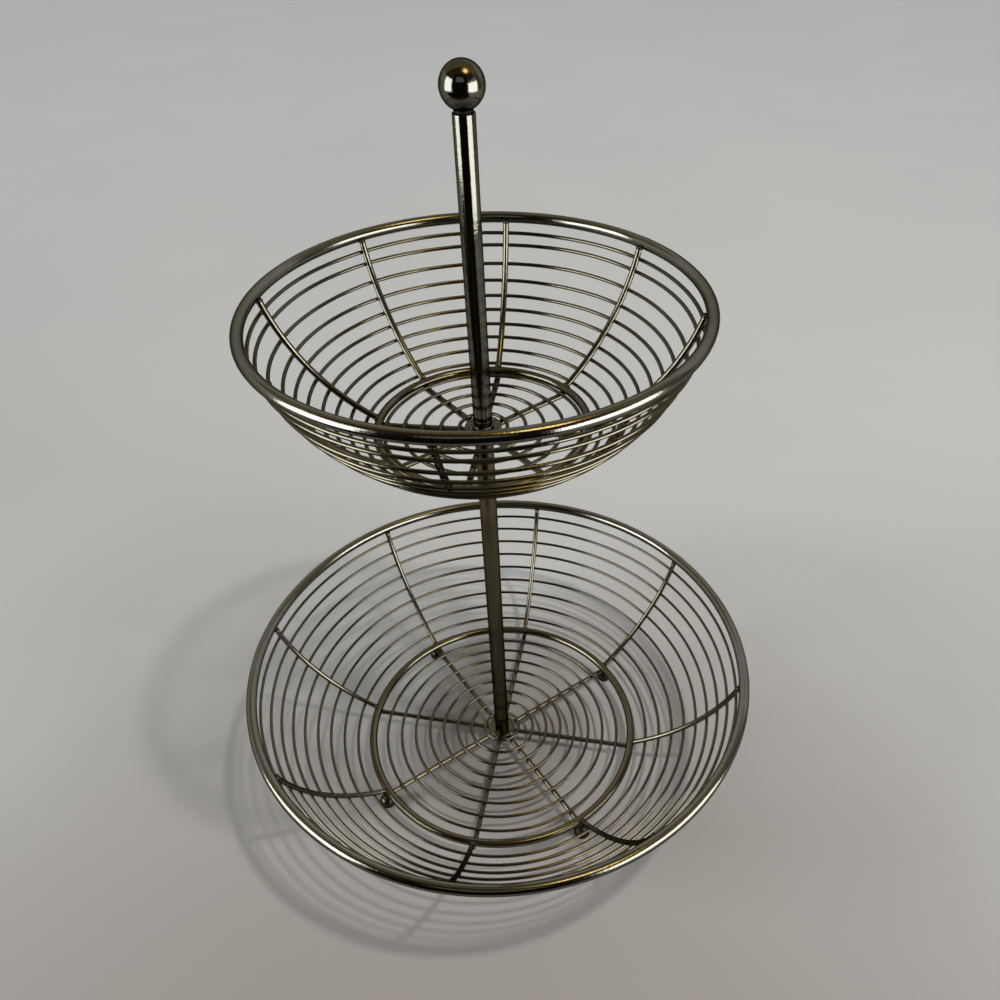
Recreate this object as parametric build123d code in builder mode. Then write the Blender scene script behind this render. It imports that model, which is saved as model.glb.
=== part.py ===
from build123d import *
import os
from math import asin, atan, atan2, cos, degrees, hypot, pi, radians, sin, sqrt

os.makedirs("parts", exist_ok=True)

# Two-tier wire basket on a centre pole, in millimetres.
# +Z is up. The origin is on the table, under the pole's axis.
# Each tier is a round wire bowl: a thick rim and a thinner base ring, eight ribs that
# stand on the base ring and end under the rim, thin hoops welded outside the ribs, and
# a floor of eight spokes with thin hoops on top.

# Wires
rim_wire_lower = 6.0
rim_wire_upper = 5.5
base_wire_lower = 5.0
base_wire_upper = 4.0
rib_wire = 3.0
spoke_wire = 3.0
hoop_side = 1.6  # a thin hoop's width, square, with the area of a 1.8 round wire
weld_gap = 0.05  # hairline left between wires that are welded where they cross

# Lower bowl, measured to the middle of its wires
lower_rim_radius = 147.0
lower_base_radius = 85.0
lower_rise = 69.4
lower_first_floor_hoop = 11.0
lower_floor_edge = 9.2  # from the last floor hoop to the base ring
lower_floor_hoops = 8
lower_hoop_shares = (0.1, 0.2, 0.3, 0.4, 0.5, 0.6, 0.7, 0.8, 0.9)

# Upper bowl
upper_rim_radius = 100.0
upper_base_radius = 50.3
upper_rise = 60.9
upper_first_floor_hoop = 11.5
upper_floor_edge = 3.3
upper_floor_hoops = 5
upper_hoop_shares = (0.067, 0.158, 0.247, 0.334, 0.427, 0.517, 0.613, 0.717, 0.831, 0.904)
upper_turn = 3.5  # degrees that the upper bowl stands out of line with the lower one

# The wall's bow: how far its arc stands outside its chord, as a share of the chord
wall_bow_share = 0.1
rib_bend_shares = (0.15, 0.32, 0.49, 0.66, 0.83)
ribs = 8

# Floor
lower_spoke_past = 2.0  # how far a spoke runs on past the base ring's middle
upper_spoke_past = 0.2
spoke_end_gap = 0.5  # from a spoke's inner end to the pole

# Feet: small balls with a flat above and below
foot_radius = 4.75
foot_flat = 0.4  # depth of each flat
foot_out = 2.0  # from the base ring's middle out to the foot's axis
feet = 4

# Pole
pole_radius = 4.5
post_length = 236.6
handle_length = 135.8
seat_gap = 0.05  # hairline between faces that are screwed together

# Threads, drawn at their outside radius
stud_radius = 3.0
thread_gap = 0.05
stud_depth = 15.0  # how far the stud sits in the lower post
handle_thread = 6.0  # how far it reaches into the handle
bore_gap = 0.1  # round the stud, in the plates and the ferrule

# Hub plates, ferrule and ball
hub_radius = 8.8
hub_thick = 1.5
ferrule_radius = 5.3
ferrule_height = 1.2
ball_radius = 8.7
neck_radius = 3.8
neck_height = 1.2  # the dark groove between the tube and the ball
ball_thread = 12.0

# Screw and washer under the lower hub
washer_radius = 7.0
washer_thick = 1.2
washer_gap = 0.2
head_radius = 5.5
head_height = 3.0
socket_radius = 2.0  # to the flats of the hexagon
socket_depth = 1.8
screw_thread = 12.0

# Flat lengths in each bent ring, and faces round each wire
rim_sides = 48
lower_sides = 32
upper_sides = 24
small_sides = 16
small_floor_hoops = 4
ring_faces = 8
rib_faces = 6
hoop_faces = 4
disc_sides = 32
ball_sides = 24
ball_bands = 12
foot_sides = 12
foot_bands = 6


# The lower bowl stands on its feet, and the wires are stacked from there
foot_height = 2 * (foot_radius - foot_flat)
lower_spoke_z = foot_height + weld_gap + spoke_wire / 2
plate_rise = spoke_wire / 2 + weld_gap
lower_plate_z = lower_spoke_z + plate_rise
post_z = lower_plate_z + hub_thick + seat_gap
upper_plate_z = post_z + post_length + seat_gap
upper_spoke_z = upper_plate_z - plate_rise
ferrule_z = upper_plate_z + hub_thick + seat_gap
handle_z = ferrule_z + ferrule_height + seat_gap
neck_z = handle_z + handle_length + seat_gap
ball_z = neck_z + neck_height + sqrt(ball_radius**2 - neck_radius**2)
hoop_rise = spoke_wire / 2 + weld_gap + hoop_side / 2
spoke_start = pole_radius + spoke_end_gap
out_of_rib = rib_wire / 2 + weld_gap + hoop_side / 2


def upright(azimuth, radius=0, height=0):
    """A standing plane through the pole's axis: X runs outward, Y runs up."""
    a = radians(azimuth)
    return Plane(
        origin=(radius * cos(a), radius * sin(a), height),
        x_dir=(cos(a), sin(a), 0),
        z_dir=(sin(a), -cos(a), 0),
    )


def wall_point(base, rim, share, inward):
    """Radius, height and slope of the wall's arc, at a share of its length."""
    run = rim[0] - base[0]
    rise = rim[1] - base[1]
    turn = 2 * atan(2 * wall_bow_share)
    slope = atan2(rise, run) + turn * (2 * share - 1)
    first = atan2(rise, run) - turn
    bend = hypot(run, rise) / (2 * sin(turn))
    r = base[0] - bend * sin(first) + (bend - inward) * sin(slope)
    z = base[1] + bend * cos(first) - (bend - inward) * cos(slope)
    return r, z, slope


def rib_points(base, rim, base_wire, rim_wire):
    """The middle line of a rib, from the base ring's outer side to its end under the rim."""
    bends = [wall_point(base, rim, share, share * out_of_rib)[:2] for share in rib_bend_shares]
    slope = atan2(bends[0][1] - base[1], bends[0][0] - base[0])
    reach = base_wire / 2 / cos(pi / ring_faces) + weld_gap
    start = (base[0] + reach * cos(slope), base[1] + reach * sin(slope))
    top = wall_point(base, rim, 1, out_of_rib)
    slope = atan2(top[1] - bends[-1][1], top[0] - bends[-1][0])
    back = rim_wire / 2 + weld_gap
    end = (top[0] - back * cos(slope), top[1] - back * sin(slope))
    return start, bends, end, top[:2]


def hoop_place(base, rim, base_wire, rim_wire, share):
    """Radius, height and slope of a wall hoop that lies on the ribs' outer side."""
    start, bends, end, top = rib_points(base, rim, base_wire, rim_wire)
    line = [base, *bends, top]
    marks = (0, *rib_bend_shares, 1)
    k = max(i for i in range(len(line) - 1) if marks[i] <= share)
    part_way = (share - marks[k]) / (marks[k + 1] - marks[k])
    run = line[k + 1][0] - line[k][0]
    rise = line[k + 1][1] - line[k][1]
    slope = atan2(rise, run)
    r = line[k][0] + part_way * run + out_of_rib * sin(slope)
    z = line[k][1] + part_way * rise - out_of_rib * cos(slope)
    return r, z, slope


def bent_ring(radius, height, wire, sides, faces, slope, turn):
    """Adds a closed ring of straight mitred lengths, with a flat of the wire along slope."""
    corner = radius / cos(pi / sides)
    steps = [2 * pi * (k + 0.5) / sides for k in range(sides)]
    corners = [(corner * cos(step), corner * sin(step)) for step in steps]
    level = Plane(origin=(0, 0, height), x_dir=(cos(radians(turn)), sin(radians(turn)), 0))
    with BuildLine(level) as path:
        Polyline((radius, 0), *corners, (radius, 0))
    with BuildSketch(upright(turn, radius, height)) as section:
        RegularPolygon(
            wire / 2,
            faces,
            major_radius=False,
            rotation=degrees(slope) + 90 - 180 / faces,
        )
    sweep(section.sketch, path=path.wire(), transition=Transition.RIGHT)


def bent_rib(points, azimuth):
    """Adds a rib of straight mitred lengths, with a flat of the wire facing outward."""
    a = radians(azimuth)
    with BuildLine(upright(azimuth)) as path:
        Polyline(*points)
    start = path.wire() @ 0
    along = path.wire() % 0
    with BuildSketch(Plane(origin=start, x_dir=(-sin(a), cos(a), 0), z_dir=along)) as section:
        RegularPolygon(rib_wire / 2, rib_faces, major_radius=False)
    sweep(section.sketch, path=path.wire(), transition=Transition.RIGHT)


def floor_spokes(reach, height, turn):
    """Adds the floor's eight straight spokes, from the pole out to reach."""
    for k in range(ribs):
        azimuth = turn + 360 / ribs * k + 180 / ribs * (ribs % 2)
        a = radians(azimuth)
        inner = Plane(
            origin=(spoke_start * cos(a), spoke_start * sin(a), height),
            x_dir=(-sin(a), cos(a), 0),
            z_dir=(cos(a), sin(a), 0),
        )
        with BuildSketch(inner) as section:
            RegularPolygon(spoke_wire / 2, ring_faces, major_radius=False, rotation=180 / ring_faces)
        extrude(section.sketch, amount=reach - spoke_start)


def tube(radius, bore, height, length):
    """Adds an upright tube."""
    with BuildSketch(Plane.XY.offset(height)) as section:
        Circle(radius)
        Circle(bore, mode=Mode.SUBTRACT)
    extrude(section.sketch, amount=length)


def disc(radius, bore, height, thick):
    """Adds a flat disc with a round bore, its rim in short flats."""
    with BuildSketch(Plane.XY.offset(height)) as section:
        RegularPolygon(radius, disc_sides, major_radius=False)
        Circle(bore, mode=Mode.SUBTRACT)
    extrude(section.sketch, amount=thick)


def ball(radius, height, low, high, bands, sides, tip=0):
    """Adds a ball on the axis between two latitudes, all small flats, its top raised by tip."""
    latitudes = [low + (high - low) * k / bands for k in range(bands + 1)]
    side = [(radius * cos(latitude), radius * sin(latitude)) for latitude in latitudes]
    side[-1] = (side[-1][0], side[-1][1] + tip)
    outline = side + [(-x, y) for x, y in reversed(side)]
    for k in range(sides // 2):
        with BuildSketch(upright(360 / sides * k, 0, height)) as profile:
            with BuildLine():
                Polyline(*outline, close=True)
            make_face()
        cross = Mode.INTERSECT if k else Mode.ADD
        extrude(profile.sketch, amount=2 * radius, both=True, mode=cross)


# Both bowls, from the same steps
tiers = (
    {
        "name": "lower",
        "turn": 0,
        "rim_radius": lower_rim_radius,
        "base_radius": lower_base_radius,
        "rise": lower_rise,
        "rim_wire": rim_wire_lower,
        "base_wire": base_wire_lower,
        "spoke_z": lower_spoke_z,
        "spoke_past": lower_spoke_past,
        "plate_z": lower_plate_z,
        "shares": lower_hoop_shares,
        "floor_first": lower_first_floor_hoop,
        "floor_edge": lower_floor_edge,
        "floor_count": lower_floor_hoops,
        "sides": lower_sides,
        "floor_sides": upper_sides,
    },
    {
        "name": "upper",
        "turn": upper_turn,
        "rim_radius": upper_rim_radius,
        "base_radius": upper_base_radius,
        "rise": upper_rise,
        "rim_wire": rim_wire_upper,
        "base_wire": base_wire_upper,
        "spoke_z": upper_spoke_z,
        "spoke_past": upper_spoke_past,
        "plate_z": upper_plate_z,
        "shares": upper_hoop_shares,
        "floor_first": upper_first_floor_hoop,
        "floor_edge": upper_floor_edge,
        "floor_count": upper_floor_hoops,
        "sides": upper_sides,
        "floor_sides": upper_sides,
    },
)

for tier in tiers:
    name = tier["name"]
    turn = tier["turn"]
    base_z = tier["spoke_z"] + spoke_wire / 2 + weld_gap + tier["base_wire"] / 2
    base = (tier["base_radius"], base_z)
    rim = (tier["rim_radius"], base_z + tier["rise"])
    wires = (tier["base_wire"], tier["rim_wire"])

    # The rim, with a flat of its wire turned to the ribs' ends
    rim_slope = wall_point(base, rim, 1, 0)[2]
    with BuildPart() as rim_ring:
        bent_ring(rim[0], rim[1], tier["rim_wire"], rim_sides, ring_faces, rim_slope, turn)
    rim_ring.part.label = f"{name}_rim"
    export_step(rim_ring.part, f"parts/{name}_rim.step")

    # The base ring, on the spokes
    with BuildPart() as base_ring:
        bent_ring(base[0], base[1], tier["base_wire"], tier["sides"], ring_faces, 0, turn)
    base_ring.part.label = f"{name}_base_ring"
    export_step(base_ring.part, f"parts/{name}_base_ring.step")

    # The ribs
    start, bends, end, top = rib_points(base, rim, *wires)
    for k in range(ribs):
        with BuildPart() as rib:
            bent_rib([start, *bends, end], turn + 360 / ribs * (k + ribs % 2 / 2))
        rib.part.label = f"{name}_rib_{k + 1}"
        export_step(rib.part, f"parts/{name}_rib_{k + 1}.step")

    # The wall's hoops, outside the ribs
    for k, share in enumerate(tier["shares"]):
        radius, height, slope = hoop_place(base, rim, *wires, share)
        with BuildPart() as wall_hoop:
            bent_ring(radius, height, hoop_side, tier["sides"], hoop_faces, slope, turn)
        wall_hoop.part.label = f"{name}_wall_hoop_{k + 1}"
        export_step(wall_hoop.part, f"parts/{name}_wall_hoop_{k + 1}.step")

    # The floor: spokes under the base ring, thin hoops on the spokes
    with BuildPart() as spokes:
        floor_spokes(tier["base_radius"] + tier["spoke_past"], tier["spoke_z"], turn)
    spokes.part.label = f"{name}_spokes"
    export_step(spokes.part, f"parts/{name}_spokes.step")

    last = tier["base_radius"] - tier["floor_edge"]
    step = (last - tier["floor_first"]) / (tier["floor_count"] - 1)
    with BuildPart() as floor:
        for k in range(tier["floor_count"]):
            sides = small_sides if k < small_floor_hoops else tier["floor_sides"]
            radius = tier["floor_first"] + step * k
            bent_ring(radius, tier["spoke_z"] + hoop_rise, hoop_side, sides, hoop_faces, 0, turn)
    floor.part.label = f"{name}_floor_hoops"
    export_step(floor.part, f"parts/{name}_floor_hoops.step")

    # The hub plate, on the spokes' inner ends
    with BuildPart() as hub_plate:
        disc(hub_radius, stud_radius + bore_gap, tier["plate_z"], hub_thick)
    hub_plate.part.label = f"{name}_hub_plate"
    export_step(hub_plate.part, f"parts/{name}_hub_plate.step")

# Feet, one under every second spoke, all from the same small ball
with BuildPart() as foot:
    reach = asin((foot_radius - foot_flat) / foot_radius)
    ball(foot_radius, foot_height / 2, -reach, reach, foot_bands, foot_sides)

with BuildPart() as foot_balls:
    with PolarLocations(lower_base_radius + foot_out, feet, start_angle=180 / feet):
        add(foot.part)
foot_balls.part.label = "feet"
export_step(foot_balls.part, "parts/feet.step")

# The lower post, a tube tapped at both ends
with BuildPart() as lower_post:
    tube(pole_radius, stud_radius + thread_gap, post_z, post_length)
lower_post.part.label = "lower_post"
export_step(lower_post.part, "parts/lower_post.step")

# The stud that joins the post to the handle through the upper hub plate
with BuildPart() as joining_stud:
    foot_z = post_z + post_length - stud_depth
    with BuildSketch(Plane.XY.offset(foot_z)):
        Circle(stud_radius)
    extrude(amount=handle_z + handle_thread - foot_z)
joining_stud.part.label = "joining_stud"
export_step(joining_stud.part, "parts/joining_stud.step")

# The ferrule under the handle's foot
with BuildPart() as ferrule:
    disc(ferrule_radius, stud_radius + bore_gap, ferrule_z, ferrule_height)
ferrule.part.label = "ferrule"
export_step(ferrule.part, "parts/ferrule.step")

# The handle, the upper length of the pole
with BuildPart() as handle_tube:
    tube(pole_radius, stud_radius + thread_gap, handle_z, handle_length)
handle_tube.part.label = "handle_tube"
export_step(handle_tube.part, "parts/handle_tube.step")

# The ball on its neck, with the stud that holds it in the handle
with BuildPart() as ball_finial:
    neck_latitude = -asin(sqrt(ball_radius**2 - neck_radius**2) / ball_radius)
    top_latitude = pi / 2 - (pi / 2 - neck_latitude) / ball_bands / 2
    top_lift = ball_radius * (1 - sin(top_latitude))
    latitudes = (neck_latitude, top_latitude)
    ball(ball_radius, ball_z, *latitudes, ball_bands, ball_sides, top_lift)
    with BuildSketch(Plane.XY.offset(neck_z)):
        Circle(neck_radius)
    extrude(amount=neck_height)
    with BuildSketch(Plane.XY.offset(neck_z - ball_thread)):
        Circle(stud_radius)
    extrude(amount=ball_thread)
ball_finial.part.label = "ball_finial"
export_step(ball_finial.part, "parts/ball_finial.step")

# The screw and its washer, which hold the lower hub plate to the post from below
spoke_low = lower_spoke_z - spoke_wire / 2
washer_z = spoke_low - weld_gap - washer_thick
with BuildPart() as bottom_washer:
    disc(washer_radius, stud_radius + washer_gap, washer_z, washer_thick)
bottom_washer.part.label = "bottom_washer"
export_step(bottom_washer.part, "parts/bottom_washer.step")

with BuildPart() as bottom_screw:
    head_z = washer_z - seat_gap - head_height
    with BuildSketch(Plane.XY.offset(head_z)):
        RegularPolygon(head_radius, disc_sides, major_radius=False)
    extrude(amount=head_height)
    with BuildSketch(Plane.XY.offset(head_z + head_height)):
        Circle(stud_radius)
    extrude(amount=post_z + screw_thread - head_z - head_height)
    with BuildSketch(Plane.XY.offset(head_z)):
        RegularPolygon(socket_radius, 6, major_radius=False)
    extrude(amount=socket_depth, mode=Mode.SUBTRACT)
bottom_screw.part.label = "bottom_screw"
export_step(bottom_screw.part, "parts/bottom_screw.step")
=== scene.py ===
import random
from math import atan, atan2, cos, hypot, pi, radians, sin, sqrt

import bmesh
import bpy
import numpy as np
from mathutils import Matrix, Vector


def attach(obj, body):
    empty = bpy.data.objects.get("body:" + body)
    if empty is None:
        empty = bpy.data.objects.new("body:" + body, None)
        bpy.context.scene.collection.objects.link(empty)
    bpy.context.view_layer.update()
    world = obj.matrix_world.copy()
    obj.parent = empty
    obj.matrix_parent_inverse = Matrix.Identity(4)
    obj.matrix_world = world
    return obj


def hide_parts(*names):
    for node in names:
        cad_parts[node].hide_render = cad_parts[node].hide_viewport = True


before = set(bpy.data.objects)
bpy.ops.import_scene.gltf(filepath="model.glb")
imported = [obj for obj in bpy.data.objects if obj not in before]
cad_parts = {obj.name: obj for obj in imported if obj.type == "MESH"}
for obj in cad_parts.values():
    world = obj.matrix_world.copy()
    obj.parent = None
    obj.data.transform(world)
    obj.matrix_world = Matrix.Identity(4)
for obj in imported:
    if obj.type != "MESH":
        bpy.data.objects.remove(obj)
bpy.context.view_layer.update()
random.seed(7)
MM = 0.001

# Sizes of the wires, in millimetres, the same as those of the solids
RIB_R, SPOKE_R, HOOP_R = 1.5, 1.5, 0.9
CUT_BEVEL = 0.45  # round the cut ends of ribs and spokes
RIM_PLAY, BASE_PLAY, WALL_PLAY, FLOOR_PLAY = 0.12, 0.15, 0.28, 0.2  # how far rings are out of true
OUTWARD_SHARE = 0.6  # of that play, how much is out of the wall
HOOP_SINK = 0.12  # how deep a hoop sits in the wires it is welded to
RIB_SINK = 0.35  # how deep a rib's ends sit in the rings

# The bowls: base and rim are the radius and height of each ring's middle, base_r and rim_r
# are the rings' wires, shares places the wall's hoops, and seams are the rim's butt welds
# in degrees
RIBS = 8
RIB_INSET = 2.35  # from the wall's arc in to a rib's middle at the rim
WALL_BOW = 0.1  # how far the wall's arc stands outside its chord, as a share of the chord
ARC_PER_CHORD = 1.03  # the arc's length over its chord's
TIERS = {
    "lower": dict(
        turn=0.0,
        base=(85.0, 14.3),
        rim=(147.0, 83.7),
        base_r=2.5,
        rim_r=3.0,
        spoke_z=10.25,
        spoke_past=2.0,
        plate_z=11.8,
        floor_first=11.0,
        floor_last=75.8,
        floor_count=8,
        shares=(0.1, 0.2, 0.3, 0.4, 0.5, 0.6, 0.7, 0.8, 0.9),
        seams=(45.0, 1.0),
    ),
    "upper": dict(
        turn=3.5,
        base=(50.3, 252.0),
        rim=(100.0, 312.9),
        base_r=2.0,
        rim_r=2.75,
        spoke_z=248.45,
        spoke_past=0.2,
        plate_z=250.0,
        floor_first=11.5,
        floor_last=47.0,
        floor_count=5,
        shares=(0.067, 0.158, 0.247, 0.334, 0.427, 0.517, 0.613, 0.717, 0.831, 0.904),
        seams=(48.0,),
    ),
}
SPOKE_START = 5.0  # from the pole's axis
FLOOR_SIDES, FLOOR_SIDES_STEP = 64, 16  # points round the first floor hoop, and more for each next

# Weld beads, as half sizes round the ring, along the wire and out of the wall
RIB_FOOT_BEAD = (2.1, 1.0, 1.95)
RIB_BEAD_SHIFT = 0.3  # on up the rib from its foot
RIB_END_BEAD = (1.95, 1.1, 1.85)
RIB_END_SHARE = 0.99  # of the wall's length
HOOP_BEAD = (1.5, 1.15, 0.5)
HOOP_BEAD_SCALE = (0.9, 1.12)  # from the smallest bead to the largest
HOOP_BEAD_LIFT = 0.98 * RIB_R  # from the rib's middle out to the bead's
SPOKE_BEAD = (1.9, 1.9, 0.65)
FLOOR_BEAD = (1.5, 1.35, 0.55)
FOOT_BEAD = (2.1, 2.3, 0.7)
FOOT_BEAD_DROP = 0.05  # from the foot's top down to the bead's middle

# Feet: balls with a flat above and below
FEET = 4
FOOT_R = 4.75
FOOT_HALF = 4.35  # half their height
FOOT_OUT = 87.0  # from the pole's axis

# The pole, its fasteners and the ball, with heights from the floor up
POLE_R, POLE_BORE = 4.5, 3.05
POST_LOW, POST_HIGH = 13.35, 249.95
HUB_R, HUB_BORE = 8.8, 3.1
HUB_THICK, HUB_EDGE = 1.5, 1.4  # at the raised edge, and how wide that is
HUB_DIP, HUB_BORE_DIP = 0.5, 0.3  # how far the face is down inside the edge and at the bore
HUB_SLOPE = 0.4  # the width over which it drops
FERRULE_R, FERRULE_LOW, FERRULE_HIGH = 5.3, 251.55, 252.75
HANDLE_LOW, HANDLE_HIGH = 252.8, 388.6
THREAD_R, PITCH = 3.0, 1.0
STUD_LOW, STUD_HIGH = 234.95, 258.8
BALL_R, BALL_Z = 8.7, 397.676
NECK_R, NECK_LOW = 3.8, 388.65
NECK_BEVEL, NECK_BEVEL_RISE, NECK_GAP = 0.3, 0.2, 0.15  # its foot's bevel, and below the ball
BALL_FOOT_R = 4.05  # where the ball starts, just outside its neck
BALL_STEPS = 48
BALL_THREAD_LOW, BALL_THREAD_HIGH = 376.65, 388.7
WASHER_R, WASHER_BORE, WASHER_LOW, WASHER_HIGH = 7.0, 3.2, 7.5, 8.7
HEAD_R, HEAD_LOW, HEAD_HIGH = 5.5, 4.45, 7.45
SOCKET_R, SOCKET_DEPTH = 2.0, 1.8
SCREW_LOW, SCREW_HIGH = 7.4, 25.3


# Nodes and materials
def feed(tree, socket, value):
    """Links a node's output to a socket, or sets the socket to a plain value."""
    if isinstance(value, bpy.types.NodeSocket):
        tree.links.new(value, socket)
    else:
        socket.default_value = value


def node(tree, kind, **values):
    """Adds a node; each value goes to the socket or else to the property of that name."""
    made = tree.nodes.new(kind)
    for key, value in values.items():
        if key in made.inputs:
            feed(tree, made.inputs[key], value)
        else:
            setattr(made, key, value)
    return made


def noise(tree, place, **values):
    """Cloudy noise at a place, from 0 to 1."""
    return node(tree, "ShaderNodeTexNoise", Vector=place, **values).outputs["Fac"]


def remap(tree, value, low, high, to_low=0.0, to_high=1.0, ease="LINEAR"):
    """Takes the range low to high to the range to_low to to_high."""
    made = node(tree, "ShaderNodeMapRange", interpolation_type=ease, Value=value)
    made.inputs["From Min"].default_value = low
    made.inputs["From Max"].default_value = high
    made.inputs["To Min"].default_value = to_low
    made.inputs["To Max"].default_value = to_high
    return made.outputs[0]


def with_detail(tree, base, detail, share):
    """The base plus a share of the detail."""
    made = node(tree, "ShaderNodeMath", operation="MULTIPLY_ADD")
    for socket, value in zip(made.inputs, (detail, share, base)):
        feed(tree, socket, value)
    return made.outputs[0]


def mix(tree, factor, first, second, blend="MIX"):
    """Mixes two colours; a mix node's colour sockets are inputs 6 and 7 and output 2."""
    made = node(tree, "ShaderNodeMix", data_type="RGBA", blend_type=blend, Factor=factor)
    feed(tree, made.inputs[6], first)
    feed(tree, made.inputs[7], second)
    return made.outputs[2]


def nickel(name, light, dark, rough, patch, drawn=0.0, along="axis", polish=1.0):
    """Nickel plate: light metal with cloudy dark tarnish, fine relief and drawn lines.

    patch says how far the tarnish goes, drawn how deep the lines left by drawing the wire
    are, along whether they run down the wire or the pole's axis, and polish how strong the
    relief is.
    """
    mat = bpy.data.materials.new(name)
    mat.use_nodes = True
    tree = mat.node_tree
    tree.nodes.clear()
    place = node(tree, "ShaderNodeTexCoord")
    body = place.outputs["Object"]

    # cloudy tarnish, a few centimetres across, broken by finer mottling
    cloud = noise(tree, body, Scale=26.0, Detail=4.0, Roughness=0.62, Distortion=0.4)
    mottle = noise(tree, body, Scale=310.0, Detail=3.0, Roughness=0.6)
    tarnish = with_detail(tree, cloud, mottle, share=0.35)
    amount = remap(tree, tarnish, 0.5, 0.86, to_high=patch)
    tint = mix(tree, amount, (*light, 1), (*dark, 1))

    # the tarnish is also duller
    dull = remap(tree, tarnish, 0.42, 0.95, rough * 0.75, rough * 1.7)

    # surface relief: orange peel of the plating, and drawn lines along the wire
    relief = noise(tree, body, Scale=900.0, Detail=2.0, Roughness=0.5)
    if drawn:
        source, scale = body, (1500.0, 1500.0, 9.0)
        if along == "wire":
            source, scale = place.outputs["UV"], (8.0, 2600.0, 1.0)
        stretch = node(tree, "ShaderNodeMapping", Vector=source, Scale=scale)
        lines = noise(tree, stretch.outputs[0], Scale=1.0, Detail=3.0, Roughness=0.6)
        relief = with_detail(tree, relief, lines, share=drawn)
    bump = node(tree, "ShaderNodeBump", Strength=0.10 * polish, Distance=0.0004, Height=relief)

    shader = node(tree, "ShaderNodeBsdfPrincipled", Metallic=1.0, Roughness=dull)
    shader.inputs["Specular Tint"].default_value = (0.22, 0.22, 0.20, 1)
    feed(tree, shader.inputs["Base Color"], tint)
    feed(tree, shader.inputs["Normal"], bump.outputs[0])
    node(tree, "ShaderNodeOutputMaterial", Surface=shader.outputs[0])
    return mat


M_RIM = nickel(
    "nickel_rim",
    (0.22, 0.21, 0.18),
    (0.15, 0.135, 0.10),
    rough=0.10,
    patch=0.5,
    drawn=0.5,
    along="wire",
)
M_FRAME = nickel(
    "nickel_frame",
    (0.18, 0.163, 0.118),
    (0.125, 0.105, 0.062),
    rough=0.11,
    patch=0.6,
    drawn=0.5,
    along="wire",
)
M_THIN = nickel("nickel_thin", (0.155, 0.14, 0.10), (0.10, 0.086, 0.052), rough=0.12, patch=0.6)
M_HUB = nickel("nickel_hub", (0.18, 0.165, 0.125), (0.11, 0.095, 0.06), rough=0.16, patch=0.7)
M_POLE = nickel(
    "nickel_pole", (0.155, 0.148, 0.122), (0.12, 0.107, 0.078), rough=0.085, patch=0.45, drawn=0.7
)
# The lower post: darker, more olive nickel than the handle, a painted reflection of the shaded warm
# floor inside the lower bowl
M_POST_REFLECTION = nickel(
    "nickel_post_painted_reflection", (0.15, 0.134, 0.092), (0.11, 0.092, 0.055), rough=0.12, patch=0.5, drawn=0.8
)
M_BALL = nickel(
    "nickel_ball", (0.165, 0.156, 0.13), (0.13, 0.12, 0.09), rough=0.10, patch=0.5, polish=0.4
)
# The neck under the ball: near black, painted shade for the shadowed groove between ball and pole
M_NECK_SHADE = nickel("nickel_neck_painted_shade", (0.02, 0.018, 0.014), (0.014, 0.012, 0.01), rough=0.5, patch=0.8)
# The feet: dark nickel, painted shade for the shadow under the lower bowl and the dark things they
# reflect
M_FEET_SHADED = nickel(
    "nickel_feet_painted_shade", (0.075, 0.062, 0.045), (0.05, 0.04, 0.028), rough=0.22, patch=0.7, polish=0.8
)
# Weld beads: dull dark weld metal, darkened further as painted shade where the wires cross
M_WELD_AND_SHADE = nickel(
    "nickel_weld_and_painted_shade", (0.10, 0.088, 0.064), (0.05, 0.04, 0.028), rough=0.28, patch=0.9, polish=2.0
)
M_ZINC = nickel(
    "zinc_fastener", (0.50, 0.51, 0.50), (0.34, 0.34, 0.32), rough=0.30, patch=0.6, drawn=0.8, polish=1.6
)


# Mesh tools, which take millimetres and make metres
def add_object(name, data):
    """An object in the scene from a mesh, lamp or camera."""
    obj = bpy.data.objects.new(name, data)
    bpy.context.scene.collection.objects.link(obj)
    return obj


def mesh_object(name, verts, faces, mat, uvs=None, sharp=None):
    """A smooth mesh, where edges that turn by more than sharp degrees stay sharp."""
    mesh = bpy.data.meshes.new(name)
    mesh.from_pydata([tuple(v) for v in verts], [], faces)
    if uvs is not None:
        layer = mesh.uv_layers.new(name="UVMap")
        layer.data.foreach_set("uv", np.array(uvs, np.float32).ravel())
    mesh.validate()
    mesh.shade_smooth()
    if sharp:
        mesh.set_sharp_from_angle(angle=radians(sharp))
    mesh.materials.append(mat)
    return add_object(name, mesh)


def settle(obj, body, replaced=()):
    """Says which body a piece rides with and which nodes it replaces."""
    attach(obj, body)
    if replaced:
        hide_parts(*replaced)


def bands(rows, segs, start=0):
    """Four-sided faces between rows of points, each row a ring."""
    faces = []
    for i in range(rows):
        low, high = start + i * segs, start + (i + 1) * segs
        for j in range(segs):
            m = (j + 1) % segs
            faces.append((low + j, low + m, high + m, high + j))
    return faces


NEARLY_UPRIGHT = 0.05  # the sine of a wire's lean, below which its section is turned by X

# A ball of small triangles, which every weld bead starts from
template = bmesh.new()
bmesh.ops.create_icosphere(template, subdivisions=2, radius=1.0)
template.verts.ensure_lookup_table()
BEAD_VERTS = np.array([tuple(v.co) for v in template.verts])
BEAD_FACES = [tuple(v.index for v in f.verts) for f in template.faces]
template.free()


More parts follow.
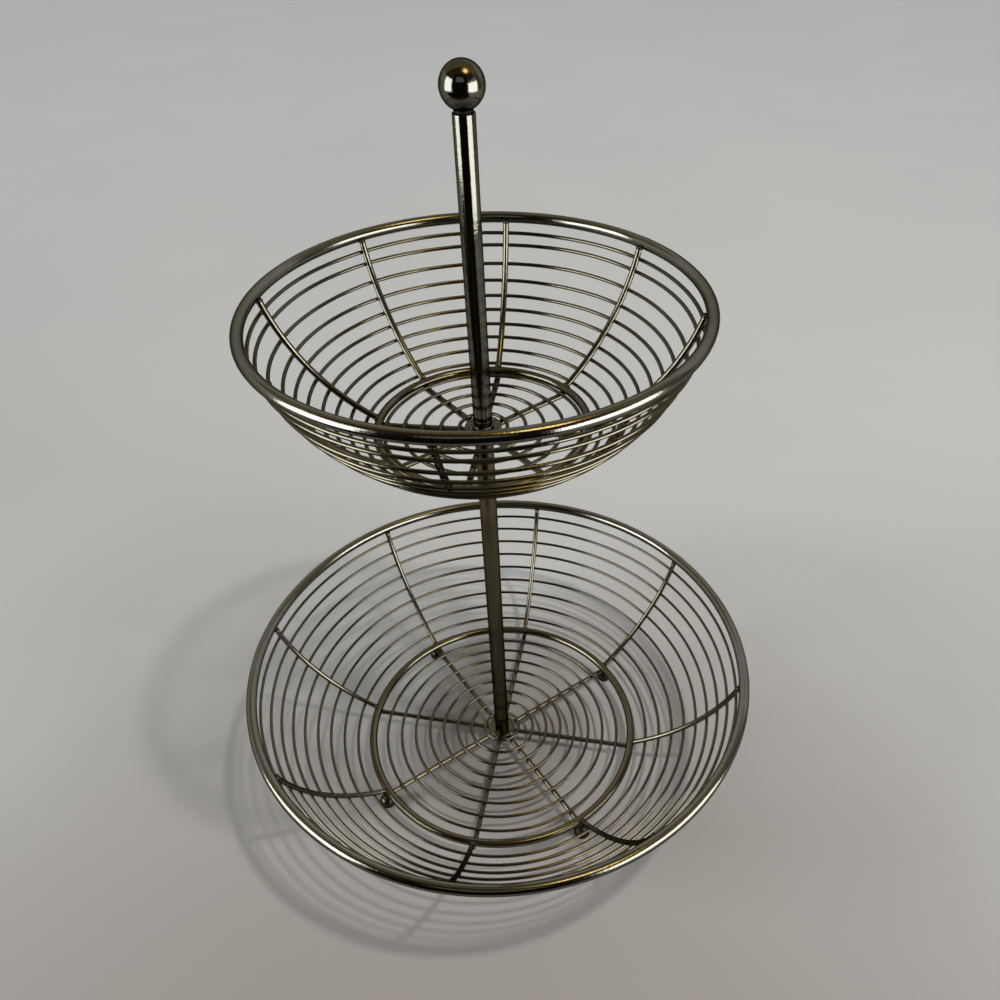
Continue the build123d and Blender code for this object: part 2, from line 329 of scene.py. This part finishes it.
class Batch:
    """Collects several swept wires, balls or weld beads into one mesh."""

    def __init__(self):
        self.verts, self.faces, self.uvs = [], [], []

    def sweep(self, points, radii, closed=False, segs=10):
        """A round wire along points; open ends get a closing point."""
        p = np.array(points, float)
        n = len(p)
        if closed:
            tangent = np.roll(p, -1, 0) - np.roll(p, 1, 0)
        else:
            tangent = np.gradient(p, axis=0)
        length = np.linalg.norm(tangent, axis=1, keepdims=True)
        tangent = tangent / np.where(length == 0, 1, length)
        side = np.cross(tangent, np.array((0.0, 0.0, 1.0)))
        upright = np.linalg.norm(side, axis=1) < NEARLY_UPRIGHT
        side[upright] = np.cross(tangent[upright], np.array((1.0, 0.0, 0.0)))
        side /= np.linalg.norm(side, axis=1, keepdims=True)
        top = np.cross(side, tangent)
        r = np.broadcast_to(np.array(radii, float), (n,))
        start = len(self.verts)
        angles = [2 * pi * k / segs for k in range(segs)]
        for i in range(n):
            for a in angles:
                self.verts.append((p[i] + r[i] * (cos(a) * side[i] + sin(a) * top[i])) * MM)

        # the wire's length and girth unrolled, for lines drawn along it
        run = np.concatenate([[0], np.cumsum(np.linalg.norm(np.diff(p, axis=0), axis=1))]) * MM
        whole = run[-1] + np.linalg.norm(p[0] - p[-1]) * MM
        girth = 2 * pi * float(np.max(r)) * MM
        rows = n if closed else n - 1
        for i in range(rows):
            j = (i + 1) % n
            low, high = start + i * segs, start + j * segs
            u0, u1 = run[i], (run[j] if j else whole)
            for k in range(segs):
                m = (k + 1) % segs
                self.faces.append((low + k, low + m, high + m, high + k))
                v0, v1 = girth * k / segs, girth * (k + 1) / segs
                self.uvs += [(u0, v0), (u0, v1), (u1, v1), (u1, v0)]
        if not closed:
            self.close_end(p[0], start, segs, run[0], 1)
            self.close_end(p[-1], start + (n - 1) * segs, segs, run[-1], -1)

    def close_end(self, point, ring, segs, run, way):
        """Joins a wire's first or last ring of points to one point in its middle."""
        self.verts.append(point * MM)
        tip = len(self.verts) - 1
        for k in range(segs):
            edge = (ring + (k + 1) % segs, ring + k)
            self.faces.append((tip, *edge[::way]))
            self.uvs += [(run, 0.0)] * 3

    def wire(self, points, radius, segs=16):
        """An open wire with both ends cut and slightly rounded."""
        p = [np.array(q, float) for q in points]
        first = (p[1] - p[0]) / np.linalg.norm(p[1] - p[0])
        last = (p[-1] - p[-2]) / np.linalg.norm(p[-1] - p[-2])
        crown = 0.02  # the cut's middle stands this far out
        steps = (
            (0.0, radius - CUT_BEVEL * 1.6),
            (0.0, radius - CUT_BEVEL),
            (0.3 * CUT_BEVEL, radius - 0.3 * CUT_BEVEL),
            (CUT_BEVEL, radius),
        )
        head = [(p[0] + first * s, r) for s, r in steps]
        head[0] = (p[0] - first * crown, head[0][1])
        tail = [(p[-1] - last * s, r) for s, r in reversed(steps)]
        tail[-1] = (p[-1] + last * crown, tail[-1][1])
        line = head + [(q, radius) for q in p[1:-1]] + tail
        self.sweep([q for q, r in line], [r for q, r in line], segs=segs)

    def bead(self, centre, axes, sizes, uneven=0.06):
        """A small weld bead: an ellipsoid on the given axes, a little uneven."""
        start = len(self.verts)
        shape = np.array(axes, float).T * np.array(sizes, float)
        for v in BEAD_VERTS:
            swell = 1 + uneven * random.uniform(-1, 1)
            self.verts.append((np.array(centre) + shape @ (v * swell)) * MM)
        for f in BEAD_FACES:
            self.faces.append(tuple(start + k for k in f))
            self.uvs += [(0.0, 0.0)] * len(f)

    def standing_ball(self, x, y, radius, half, rows=20, segs=32):
        """A ball that stands on the floor, cut flat above and below."""
        start = len(self.verts)
        for i in range(rows + 1):
            lat = -pi / 2 + pi * i / rows
            r = radius * cos(lat)
            z = half + max(-half, min(half, radius * sin(lat)))
            for j in range(segs):
                a = 2 * pi * j / segs
                self.verts.append(np.array((x + r * cos(a), y + r * sin(a), z)) * MM)
        self.faces += bands(rows, segs, start)
        self.uvs += [(0.0, 0.0)] * 4 * rows * segs

    def make(self, name, mat, body, replaced=()):
        """Makes the mesh and settles it on its body."""
        settle(mesh_object(name, self.verts, self.faces, mat, self.uvs), body, replaced)


def lathe(name, profile, mat, segs=96, sharp=32):
    """Turns a closed or axis-to-axis outline of (radius, height) points round the pole."""
    verts, faces, uvs = [], [], []
    rows = []
    for r, z in profile:
        if r < 1e-6:
            rows.append([len(verts)])
            verts.append((0.0, 0.0, z * MM))
        else:
            rows.append(list(range(len(verts), len(verts) + segs)))
            for k in range(segs):
                a = 2 * pi * k / segs
                verts.append((r * cos(a) * MM, r * sin(a) * MM, z * MM))
    girth = 2 * pi * 5 * MM  # as if every outline were 5 mm from the axis
    run = 0.0
    for i in range(len(profile) - 1):
        low, high = rows[i], rows[i + 1]
        step = hypot(profile[i + 1][0] - profile[i][0], profile[i + 1][1] - profile[i][1]) * MM
        for k in range(segs):
            m = (k + 1) % segs
            u0, u1 = girth * k / segs, girth * (k + 1) / segs
            if len(low) == 1:
                faces.append((low[0], high[m], high[k]))
                uvs += [(run, u0), (run + step, u1), (run + step, u0)]
            elif len(high) == 1:
                faces.append((low[k], low[m], high[0]))
                uvs += [(run, u0), (run, u1), (run + step, u0)]
            else:
                faces.append((low[k], low[m], high[m], high[k]))
                uvs += [(run, u0), (run, u1), (run + step, u1), (run + step, u0)]
        run += step
    return mesh_object(name, verts, faces, mat, uvs, sharp)


def rounded(corners, size, steps=4):
    """Rounds the corners of an outline; each corner is (radius, height)."""
    most = 0.45  # of a side's length
    out = [corners[0]]
    for a, b, c in zip(corners, corners[1:], corners[2:]):
        a, b, c = (np.array(q, float) for q in (a, b, c))
        s = min(size, most * np.linalg.norm(b - a), most * np.linalg.norm(c - b))
        p = b + (a - b) / np.linalg.norm(a - b) * s
        q = b + (c - b) / np.linalg.norm(c - b) * s
        for k in range(steps + 1):
            t = k / steps
            out.append(tuple((1 - t) ** 2 * p + 2 * t * (1 - t) * b + t ** 2 * q))
    out.append(corners[-1])
    return [(float(r), float(z)) for r, z in out]


def sleeve(name, bore, radius, low, high, mat, edge, steps=4):
    """A tube or washer round the pole's axis, with rounded edges."""
    corners = [(bore, low), (radius, low), (radius, high), (bore, high), (bore, low)]
    return lathe(name, rounded(corners, edge, steps), mat)


def threaded(name, low, high, mat, depth=0.32, segs=32, per_turn=8):
    """A threaded rod with flat ends; the ridge runs round as a right-handed screw."""
    rows = int((high - low) / PITCH * per_turn)
    runout = 0.8  # how much of the thread's depth the ends lose
    verts = []
    for i in range(rows + 1):
        z = low + (high - low) * i / rows
        ends = min(1.0, (z - low) / PITCH, (high - z) / PITCH)
        for j in range(segs):
            phase = ((z - low) / PITCH - j / segs) % 1
            ridge = abs(2 * phase - 1)
            r = THREAD_R - depth * (1 - ridge) - depth * runout * (1 - ends)
            a = 2 * pi * j / segs
            verts.append((r * cos(a) * MM, r * sin(a) * MM, z * MM))
    faces = bands(rows, segs)
    for row, z, way in ((0, low, 1), (rows, high, -1)):
        verts.append((0.0, 0.0, z * MM))
        tip = len(verts) - 1
        for j in range(segs):
            edge = (row * segs + (j + 1) % segs, row * segs + j)
            faces.append((tip, *edge[::way]))
    return mesh_object(name, verts, faces, mat, sharp=50)


def socket_head(name, low, high, radius, flat, depth, mat, segs=48):
    """A button head with a six-sided socket sunk into its underside."""
    def hexagon(a, size):
        step = (a + pi / 6) % (pi / 3) - pi / 6
        return size / cos(step)

    deep, lip, chamfer = low + depth, low + 0.12, 0.14
    rings = []
    for size, z in ((0.0, deep), (flat, deep), (flat, lip), (flat + chamfer, low)):
        rings.append([(hexagon(2 * pi * j / segs, size), z) for j in range(segs)])
    outline = [
        (flat + 1.2, low),
        (radius - 0.4, low),
        (radius, high - 1.0),
        (radius, high),
        (THREAD_R, high),
    ]
    rings += [[(r, z)] * segs for r, z in rounded(outline, 0.8, 5)]
    verts = []
    for ring in rings:
        for j, (r, z) in enumerate(ring):
            a = 2 * pi * j / segs
            verts.append((r * cos(a) * MM, r * sin(a) * MM, z * MM))
    faces = [(b, a, d, c) for a, b, c, d in bands(len(rings) - 1, segs)]
    return mesh_object(name, verts, faces, mat, sharp=35)


# Places on the bowls
def wall_point(base, rim, share, inward):
    """Radius and height of a point on the wall's arc, at a share of its length."""
    run, rise = rim[0] - base[0], rim[1] - base[1]
    turn = 2 * atan(2 * WALL_BOW)
    slope = atan2(rise, run) + turn * (2 * share - 1)
    first = atan2(rise, run) - turn
    bend = hypot(run, rise) / (2 * sin(turn))
    r = base[0] - bend * sin(first) + (bend - inward) * sin(slope)
    z = base[1] + bend * cos(first) - (bend - inward) * cos(slope)
    return r, z


def rib_curve(tier, steps=48):
    """A rib's middle from base ring to rim: shares of the wall's length, points and slopes."""
    base, rim = tier["base"], tier["rim"]
    length = hypot(rim[0] - base[0], rim[1] - base[1]) * ARC_PER_CHORD
    low = (tier["base_r"] - RIB_SINK) / length
    high = 1 - (tier["rim_r"] - RIB_SINK) / length
    shares = [low + (high - low) * k / steps for k in range(steps + 1)]
    line = np.array([wall_point(base, rim, share, share * RIB_INSET) for share in shares])
    along = np.gradient(line, axis=0)
    return shares, line, np.arctan2(along[:, 1], along[:, 0])


def at_share(curve, share):
    """Radius, height and slope of a rib at a share of the wall's length."""
    shares, line, slopes = curve
    return [np.interp(share, shares, values) for values in (line[:, 0], line[:, 1], slopes)]


def ring_points(radius, height, turn, sides, play, slope=0.0):
    """A ring held true at its welds, and sprung out of true a little between them."""
    spans = [(random.uniform(-1, 1) * play, random.uniform(-1, 1) * play) for _ in range(RIBS)]
    out = []
    for k in range(sides):
        a = 2 * pi * k / sides
        span, part = divmod(k / sides * RIBS, 1)
        ease = sin(pi * part) ** 2
        along = spans[int(span)][0] * ease
        outward = spans[int(span)][1] * ease * OUTWARD_SHARE
        r = radius + along * cos(slope) + outward * sin(slope)
        z = height + along * sin(slope) - outward * cos(slope)
        out.append((r * cos(a + radians(turn)), r * sin(a + radians(turn)), z))
    return out


def seam_radii(radius, sides, turn, seams, reach=1.3, collar=0.035):
    """The wire's radius round a ring, with a slight collar at each butt weld."""
    out = []
    for k in range(sides):
        a = 360 * k / sides + turn
        swell = 0.0
        for seam in seams:
            off = abs((a - seam + 180) % 360 - 180)
            swell = max(swell, collar * max(0.0, 1 - (off / reach) ** 2))
        out.append(radius * (1 + swell))
    return out


def radial(azimuth, r, z):
    """A point at an azimuth in degrees, a radius and a height."""
    a = radians(azimuth)
    return np.array((r * cos(a), r * sin(a), z))


def cross_axes(azimuth, slope=0.0):
    """Axes at a crossing: round the ring, along the rib, and straight out of the wall."""
    a = radians(azimuth)
    around = np.array((-sin(a), cos(a), 0.0))
    along = np.array((cos(slope) * cos(a), cos(slope) * sin(a), sin(slope)))
    out = np.array((sin(slope) * cos(a), sin(slope) * sin(a), -cos(slope)))
    return around, along, out


def rib_azimuths(tier):
    """Where the ribs and spokes stand, in degrees."""
    return [tier["turn"] + 360 / RIBS * k for k in range(RIBS)]


# The pieces of a bowl; each takes the bowl's name, its sizes and its body
def add_rim(name, tier, body, sides=240):
    """The thick rim, with its butt welds."""
    ring = Batch()
    points = ring_points(*tier["rim"], tier["turn"], sides, RIM_PLAY)
    radii = seam_radii(tier["rim_r"], sides, tier["turn"], tier["seams"])
    ring.sweep(points, radii, closed=True, segs=24)
    ring.make(f"{name}_rim_wire", M_RIM, body, [f"{name}_rim"])


def add_base_ring(name, tier, body, sides=192):
    """The thick ring round the floor."""
    ring = Batch()
    points = ring_points(*tier["base"], tier["turn"], sides, BASE_PLAY)
    ring.sweep(points, tier["base_r"], closed=True, segs=20)
    ring.make(f"{name}_base_wire", M_FRAME, body, [f"{name}_base_ring"])


def add_ribs(name, tier, body, curve, welds):
    """Ribs with cut ends, welded to the base ring's outer side and under the rim."""
    for k, azimuth in enumerate(rib_azimuths(tier)):
        rib = Batch()
        rib.wire([radial(azimuth, r, z) for r, z in curve[1]], RIB_R)
        rib.make(f"{name}_rib_wire_{k + 1}", M_FRAME, body, [f"{name}_rib_{k + 1}"])
        r, z, slope = at_share(curve, 0.0)
        axes = cross_axes(azimuth, slope)
        welds.bead(radial(azimuth, r, z) + axes[1] * RIB_BEAD_SHIFT, axes, RIB_FOOT_BEAD)
        r, z, slope = at_share(curve, RIB_END_SHARE)
        welds.bead(radial(azimuth, r, z), cross_axes(azimuth, slope), RIB_END_BEAD)


def add_wall_hoops(name, tier, body, curve, welds, sides=160):
    """Thin hoops on the ribs' outer side."""
    gap = RIB_R + HOOP_R - HOOP_SINK
    for n, share in enumerate(tier["shares"]):
        r, z, slope = at_share(curve, share)
        place = (r + gap * sin(slope), z - gap * cos(slope))
        hoop = Batch()
        points = ring_points(*place, tier["turn"], sides, WALL_PLAY, slope)
        hoop.sweep(points, HOOP_R, closed=True)
        replaced = [f"{name}_wall_hoop_{n + 1}"]
        hoop.make(f"{name}_hoop_wire_{n + 1}", M_THIN, body, replaced)
        for azimuth in rib_azimuths(tier):
            axes = cross_axes(azimuth, slope)
            spot = radial(azimuth, r, z) + axes[2] * HOOP_BEAD_LIFT
            size = random.uniform(*HOOP_BEAD_SCALE)
            around, along, out = HOOP_BEAD
            welds.bead(spot, axes, (around * size, along * size, out))


def add_spokes(name, tier, body, welds, steps=24):
    """Straight spokes under the base ring, out from the hub."""
    spokes = Batch()
    reach = tier["base"][0] + tier["spoke_past"] - SPOKE_START
    marks = [SPOKE_START + reach * i / steps for i in range(steps + 1)]
    for azimuth in rib_azimuths(tier):
        spokes.wire([radial(azimuth, r, tier["spoke_z"]) for r in marks], SPOKE_R)
        spot = radial(azimuth, tier["base"][0], tier["spoke_z"] + SPOKE_R)
        welds.bead(spot, cross_axes(azimuth), SPOKE_BEAD)
    spokes.make(f"{name}_spoke_wires", M_FRAME, body, [f"{name}_spokes"])


def add_floor_hoops(name, tier, body, welds):
    """Thin hoops on the spokes."""
    floor = Batch()
    z = tier["spoke_z"] + SPOKE_R
    width = tier["floor_last"] - tier["floor_first"]
    for n in range(tier["floor_count"]):
        r = tier["floor_first"] + width * n / (tier["floor_count"] - 1)
        sides = FLOOR_SIDES + FLOOR_SIDES_STEP * n
        points = ring_points(r, z + HOOP_R - HOOP_SINK, tier["turn"], sides, FLOOR_PLAY)
        floor.sweep(points, HOOP_R, closed=True)
        for azimuth in rib_azimuths(tier):
            welds.bead(radial(azimuth, r, z), cross_axes(azimuth), FLOOR_BEAD)
    floor.make(f"{name}_floor_wires", M_THIN, body, [f"{name}_floor_hoops"])


def add_hub_plate(name, tier, body):
    """The pressed hub plate, with a raised edge."""
    z = tier["plate_z"]
    outline = [
        (HUB_BORE, z),
        (HUB_R, z),
        (HUB_R, z + HUB_THICK),
        (HUB_R - HUB_EDGE, z + HUB_THICK),
        (HUB_R - HUB_EDGE - HUB_SLOPE, z + HUB_THICK - HUB_DIP),
        (HUB_BORE, z + HUB_THICK - HUB_BORE_DIP),
        (HUB_BORE, z),
    ]
    plate = lathe(f"{name}_hub_disc", rounded(outline, 0.5), M_HUB)
    settle(plate, body, [f"{name}_hub_plate"])


def add_feet(body, welds):
    """Feet on the diagonals, each welded under a spoke's end."""
    feet = Batch()
    for k in range(FEET):
        azimuth = 360 / FEET * (k + 0.5)
        x, y, _ = radial(azimuth, FOOT_OUT, 0)
        feet.standing_ball(x, y, FOOT_R, FOOT_HALF)
        welds.bead((x, y, 2 * FOOT_HALF - FOOT_BEAD_DROP), cross_axes(azimuth), FOOT_BEAD)
    feet.make("foot_balls", M_FEET_SHADED, body, ["feet"])


# Both bowls
for name, tier in TIERS.items():
    body = f"{name}_tier"
    curve = rib_curve(tier)
    welds = Batch()
    add_rim(name, tier, body)
    add_base_ring(name, tier, body)
    add_ribs(name, tier, body, curve, welds)
    add_wall_hoops(name, tier, body, curve, welds)
    add_spokes(name, tier, body, welds)
    add_floor_hoops(name, tier, body, welds)
    add_hub_plate(name, tier, body)
    if name == "lower":
        add_feet(body, welds)
    welds.make(f"{name}_welds", M_WELD_AND_SHADE, body)

# The pole: lower post, ferrule, handle, and the stud inside them
post = sleeve("post_tube", POLE_BORE, POLE_R, POST_LOW, POST_HIGH, M_POST_REFLECTION, edge=0.3)
settle(post, "lower_tier", ["lower_post"])
ferrule = sleeve(
    "ferrule_ring", HUB_BORE, FERRULE_R, FERRULE_LOW, FERRULE_HIGH, M_POLE, edge=0.55, steps=6
)
settle(ferrule, "foot_collar", ["ferrule"])
handle = sleeve("handle_pole", POLE_BORE, POLE_R, HANDLE_LOW, HANDLE_HIGH, M_POLE, edge=0.35)
settle(handle, "handle", ["handle_tube"])
stud = threaded("stud_rod", STUD_LOW, STUD_HIGH, M_ZINC)
settle(stud, "lower_tier", ["joining_stud"])

# The ball on its narrow neck, painted near black as painted shade in the groove under the ball, with its
# own thread
neck_top = BALL_Z - sqrt(BALL_R**2 - NECK_R**2) - NECK_GAP
profile = [
    (0.0, NECK_LOW),
    (NECK_R - NECK_BEVEL, NECK_LOW),
    (NECK_R, NECK_LOW + NECK_BEVEL_RISE),
    (NECK_R, neck_top),
]
lowest = -atan2(sqrt(BALL_R**2 - BALL_FOOT_R**2), BALL_FOOT_R)
latitudes = [lowest + (pi / 2 - lowest) * k / BALL_STEPS for k in range(BALL_STEPS)]
profile += [(BALL_R * cos(lat), BALL_Z + BALL_R * sin(lat)) for lat in latitudes]
profile.append((0.0, BALL_Z + BALL_R))
ball = lathe("ball_knob", profile, M_BALL, sharp=40)
ball.data.materials.append(M_NECK_SHADE)
for face in ball.data.polygons:
    if face.center.z < (BALL_Z + BALL_R * sin(lowest)) * MM:
        face.material_index = 1
settle(ball, "handle", ["ball_finial"])
ball_thread = threaded("ball_thread", BALL_THREAD_LOW, BALL_THREAD_HIGH, M_ZINC)
settle(ball_thread, "handle")

# Washer and screw under the lower hub
washer = sleeve("washer_disc", WASHER_BORE, WASHER_R, WASHER_LOW, WASHER_HIGH, M_ZINC, edge=0.3)
settle(washer, "lower_tier", ["bottom_washer"])
head = socket_head("screw_head", HEAD_LOW, HEAD_HIGH, HEAD_R, SOCKET_R, SOCKET_DEPTH, M_ZINC)
settle(head, "lower_tier", ["bottom_screw"])
screw = threaded("screw_thread", SCREW_LOW, SCREW_HIGH, M_ZINC)
settle(screw, "lower_tier")


# The floor, from here on in metres. Its paint carries painted shade and light: darker and warmer in
# front of the basket as painted shade, paler far off as painted light. Each row is a share of the reach,
# a level, and the blue's share of that level.
FLOOR_HALF = 80
PAINTED_SHADE_CENTRE = (0.03, -0.30, 0.0)
PAINTED_SHADE_REACH = 2.0
PAINTED_SHADE_STEPS = ((0.10, 0.45, 0.90), (0.16, 0.50, 0.95), (0.22, 0.64, 1.01), (0.30, 0.67, 1.01))


def floor_paint_with_shade():
    """Matt pale paint with painted shade and light: darker and warmer in front of the basket, paler far
    off.
    """
    mat = bpy.data.materials.new("floor_paint_with_shade")
    mat.use_nodes = True
    tree = mat.node_tree
    place = node(tree, "ShaderNodeTexCoord").outputs["Object"]
    cloud = noise(tree, place, Scale=3.0, Detail=3.0)
    away = node(tree, "ShaderNodeVectorMath", operation="DISTANCE")
    feed(tree, away.inputs[0], place)
    feed(tree, away.inputs[1], PAINTED_SHADE_CENTRE)
    # Painted shade near the spot in front of the basket, fading to painted light far off
    painted_shade_ramp = node(tree, "ShaderNodeValToRGB")
    ramp = painted_shade_ramp.color_ramp
    ramp.interpolation = "B_SPLINE"
    ramp.elements[0].color = (0.40, 0.376, 0.335, 1)
    ramp.elements[1].color = (0.80, 0.81, 0.81, 1)
    for spot, level, blue in PAINTED_SHADE_STEPS:
        ramp.elements.new(spot).color = (level, level * (1 + blue) / 2, level * blue, 1)
    feed(tree, painted_shade_ramp.inputs[0], remap(tree, away.outputs["Value"], 0.0, PAINTED_SHADE_REACH))
    shader = tree.nodes["Principled BSDF"]
    shader.inputs["Roughness"].default_value = 0.6
    shader.inputs["Specular IOR Level"].default_value = 0.0
    tone = mix(tree, cloud, painted_shade_ramp.outputs[0], (0.90, 0.91, 0.93, 1), "MULTIPLY")
    feed(tree, shader.inputs["Base Color"], tone)
    return mat


mesh = bpy.data.meshes.new("floor")
corners = [(x * FLOOR_HALF, y * FLOOR_HALF, 0) for x, y in ((-1, -1), (1, -1), (1, 1), (-1, 1))]
mesh.from_pydata(corners, [], [(0, 1, 2, 3)])
mesh.materials.append(floor_paint_with_shade())
add_object("floor", mesh)


# Light
def light(name, kind, power, colour, towards, axis):
    """A lamp whose given axis points along towards."""
    data = bpy.data.lights.new(name, kind)
    data.energy = power
    data.color = colour
    obj = add_object(name, data)
    obj.rotation_euler = towards.to_track_quat(axis, "Y").to_euler()
    return obj


def area(name, spot, aim, size, power, colour):
    """A rectangular lamp at one spot that shines at another."""
    obj = light(name, "AREA", power, colour, Vector(aim) - Vector(spot), "-Z")
    obj.data.shape = "RECTANGLE"
    obj.data.size, obj.data.size_y = size
    obj.location = spot
    return obj


def daylight(name, azimuth, height, spread, power, colour):
    """Even daylight from one side: where it comes from and how wide it is, in degrees."""
    a, e = radians(azimuth), radians(height)
    source = Vector((cos(a) * cos(e), sin(a) * cos(e), sin(e)))
    obj = light(name, "SUN", power, colour, source, "Z")
    obj.data.angle = radians(spread)
    obj.visible_glossy = False
    return obj


# A warm lamp above on the right, and two windows that show in the metal
lamp = area(
    "lamp",
    spot=(0.70, -0.16, 1.86),
    aim=(0, 0, 0.1),
    size=(0.10, 0.10),
    power=10.0,
    colour=(1.0, 0.93, 0.82),
)
lamp.visible_glossy = False
left = area(
    "window_left",
    spot=(-0.759, -0.484, 0.542),
    aim=(0, 0, 0.542),
    size=(0.637, 0.795),
    power=9.2,
    colour=(0.90, 0.96, 1.0),
)
right = area(
    "window_right",
    spot=(0.742, -0.300, 0.36),
    aim=(0, 0, 0.36),
    size=(0.712, 0.545),
    power=7.1,
    colour=(0.93, 0.97, 1.0),
)
left.visible_diffuse = right.visible_diffuse = False

# The same two windows as even light from far off, for what they light and shade on the floor
daylight("day_left", azimuth=206, height=15, spread=26, power=3.3, colour=(0.92, 0.97, 1.0))
daylight("day_right", azimuth=338, height=14, spread=24, power=2.5, colour=(0.96, 0.97, 1.0))

# The surroundings: a pale backdrop for the camera and the metal, and a dim warm fill. The
# backdrop is darker low down, where it meets the floor without a line.
BACKDROP_LOW, BACKDROP_HIGH = (0.407, 0.412, 0.407, 1), (0.58, 0.59, 0.585, 1)
BACKDROP_FADE = 0.28  # the sine of the angle up to where it is palest
WARM_FILL = (0.12, 0.102, 0.075, 1)
world = bpy.data.worlds.new("room")
bpy.context.scene.world = world
world.use_nodes = True
tree = world.node_tree
tree.nodes.clear()
across = node(tree, "ShaderNodeSeparateXYZ")
feed(tree, across.inputs[0], node(tree, "ShaderNodeTexCoord").outputs["Generated"])
height = remap(tree, across.outputs["Z"], 0.0, BACKDROP_FADE, ease="SMOOTHSTEP")
backdrop = mix(tree, height, BACKDROP_LOW, BACKDROP_HIGH)
seen = node(tree, "ShaderNodeBackground", Color=backdrop, Strength=1.0)
fill = node(tree, "ShaderNodeBackground", Color=WARM_FILL, Strength=1.0)
path = node(tree, "ShaderNodeLightPath")
either = node(tree, "ShaderNodeMath", operation="MAXIMUM")
feed(tree, either.inputs[0], path.outputs["Is Camera Ray"])
feed(tree, either.inputs[1], path.outputs["Is Glossy Ray"])
both = node(tree, "ShaderNodeMixShader")
for socket, source in zip(both.inputs, (either, fill, seen)):
    feed(tree, socket, source.outputs[0])
node(tree, "ShaderNodeOutputWorld", Surface=both.outputs[0])


# Studio cards
def card(name, corners, colour, strength=1.0):
    """A card seen only in reflections; it stands for the room around the basket."""
    paint = bpy.data.materials.new(name)
    paint.use_nodes = True
    tree = paint.node_tree
    tree.nodes.clear()
    glow = node(tree, "ShaderNodeEmission", Color=(*colour, 1), Strength=strength)
    node(tree, "ShaderNodeOutputMaterial", Surface=glow.outputs[0])
    shape = bpy.data.meshes.new(name)
    shape.from_pydata(corners, [], [tuple(range(len(corners)))])
    shape.materials.append(paint)
    obj = add_object(name, shape)
    obj.visible_camera = False
    obj.visible_diffuse = False
    obj.visible_shadow = False
    obj.visible_transmission = False


def standing(start, end, low, high):
    """Corners of an upright card from one (x, y) spot to another."""
    return [(*start, low), (*end, low), (*end, high), (*start, high)]


def lying(left, right, near, far, z):
    """Corners of a level card."""
    return [(left, near, z), (right, near, z), (right, far, z), (left, far, z)]


def oval(x, y, half_x, half_y, z, sides=48):
    """Corners of a level oval card."""
    turns = [2 * pi * k / sides for k in range(sides)]
    return [(x + half_x * cos(a), y + half_y * sin(a), z) for a in turns]


DARK, BROWN, OLIVE = (0.010, 0.009, 0.007), (0.09, 0.055, 0.03), (0.30, 0.265, 0.15)
GREY, SKY = (0.17, 0.16, 0.14), (0.30, 0.38, 0.33)
LAMPLIGHT, HALO = (1.0, 0.80, 0.36), (0.95, 0.58, 0.07)
SHADE_GLOW = 5.5
# card_near_painted_shade: a dark sheet just off the floor in front, seen only in reflections: painted
# shade of the near floor
NEAR_EDGES = ((-0.85, -0.33), (0.38, -0.31), (0.90, -1.0), (-1.2, -1.0))
NEAR_Z = 0.003  # just off the floor
near_corners = [(x, y, NEAR_Z) for x, y in NEAR_EDGES]
card("card_front", standing((-0.67, -1.0), (0.90, -1.0), 0.0, 2.0), DARK)
card("card_near_painted_shade", near_corners, DARK)
card("card_above", lying(-3.0, 3.0, -3.0, 0.0, 2.0), BROWN)
card("card_behind", lying(-3.0, 3.0, 0.0, 1.5, 2.0), OLIVE)
card("card_side", standing((1.49, 0.13), (1.32, 0.70), 0.0, 1.4), GREY)
card("card_sky", standing((0.09 - 0.38, -0.98), (0.09 + 0.38, -0.98), 1.12 - 0.27, 1.12 + 0.27), SKY)
card("lamp_shade", oval(0.57, -0.27, 0.27, 0.27, 1.88), LAMPLIGHT, SHADE_GLOW)
card("lamp_halo", oval(0.60, -0.25, 0.50, 0.42, 1.92), HALO)

# Camera, where the photo was taken from
yaw, pitch, roll = radians(-11.70), radians(41.82), radians(1.823)
ahead = Vector((sin(yaw) * cos(pitch), cos(yaw) * cos(pitch), -sin(pitch)))
level = Vector((cos(yaw), -sin(yaw), 0.0))
below = ahead.cross(level)
rightward = cos(roll) * level + sin(roll) * below
downward = -sin(roll) * level + cos(roll) * below
cam = bpy.data.cameras.new("camera")
cam.sensor_width = 36.0
cam.lens = 30.21
cam.shift_x = -0.0195
cam.shift_y = 0.0452
cam.clip_start = 0.01
cam_obj = add_object("camera", cam)
basis = Matrix((rightward, -downward, -ahead)).transposed().to_4x4()
basis.translation = Vector((0.08346, -0.32667, 0.47536))
cam_obj.matrix_world = basis
bpy.context.scene.camera = cam_obj
bpy.context.scene.view_settings.view_transform = "Standard"
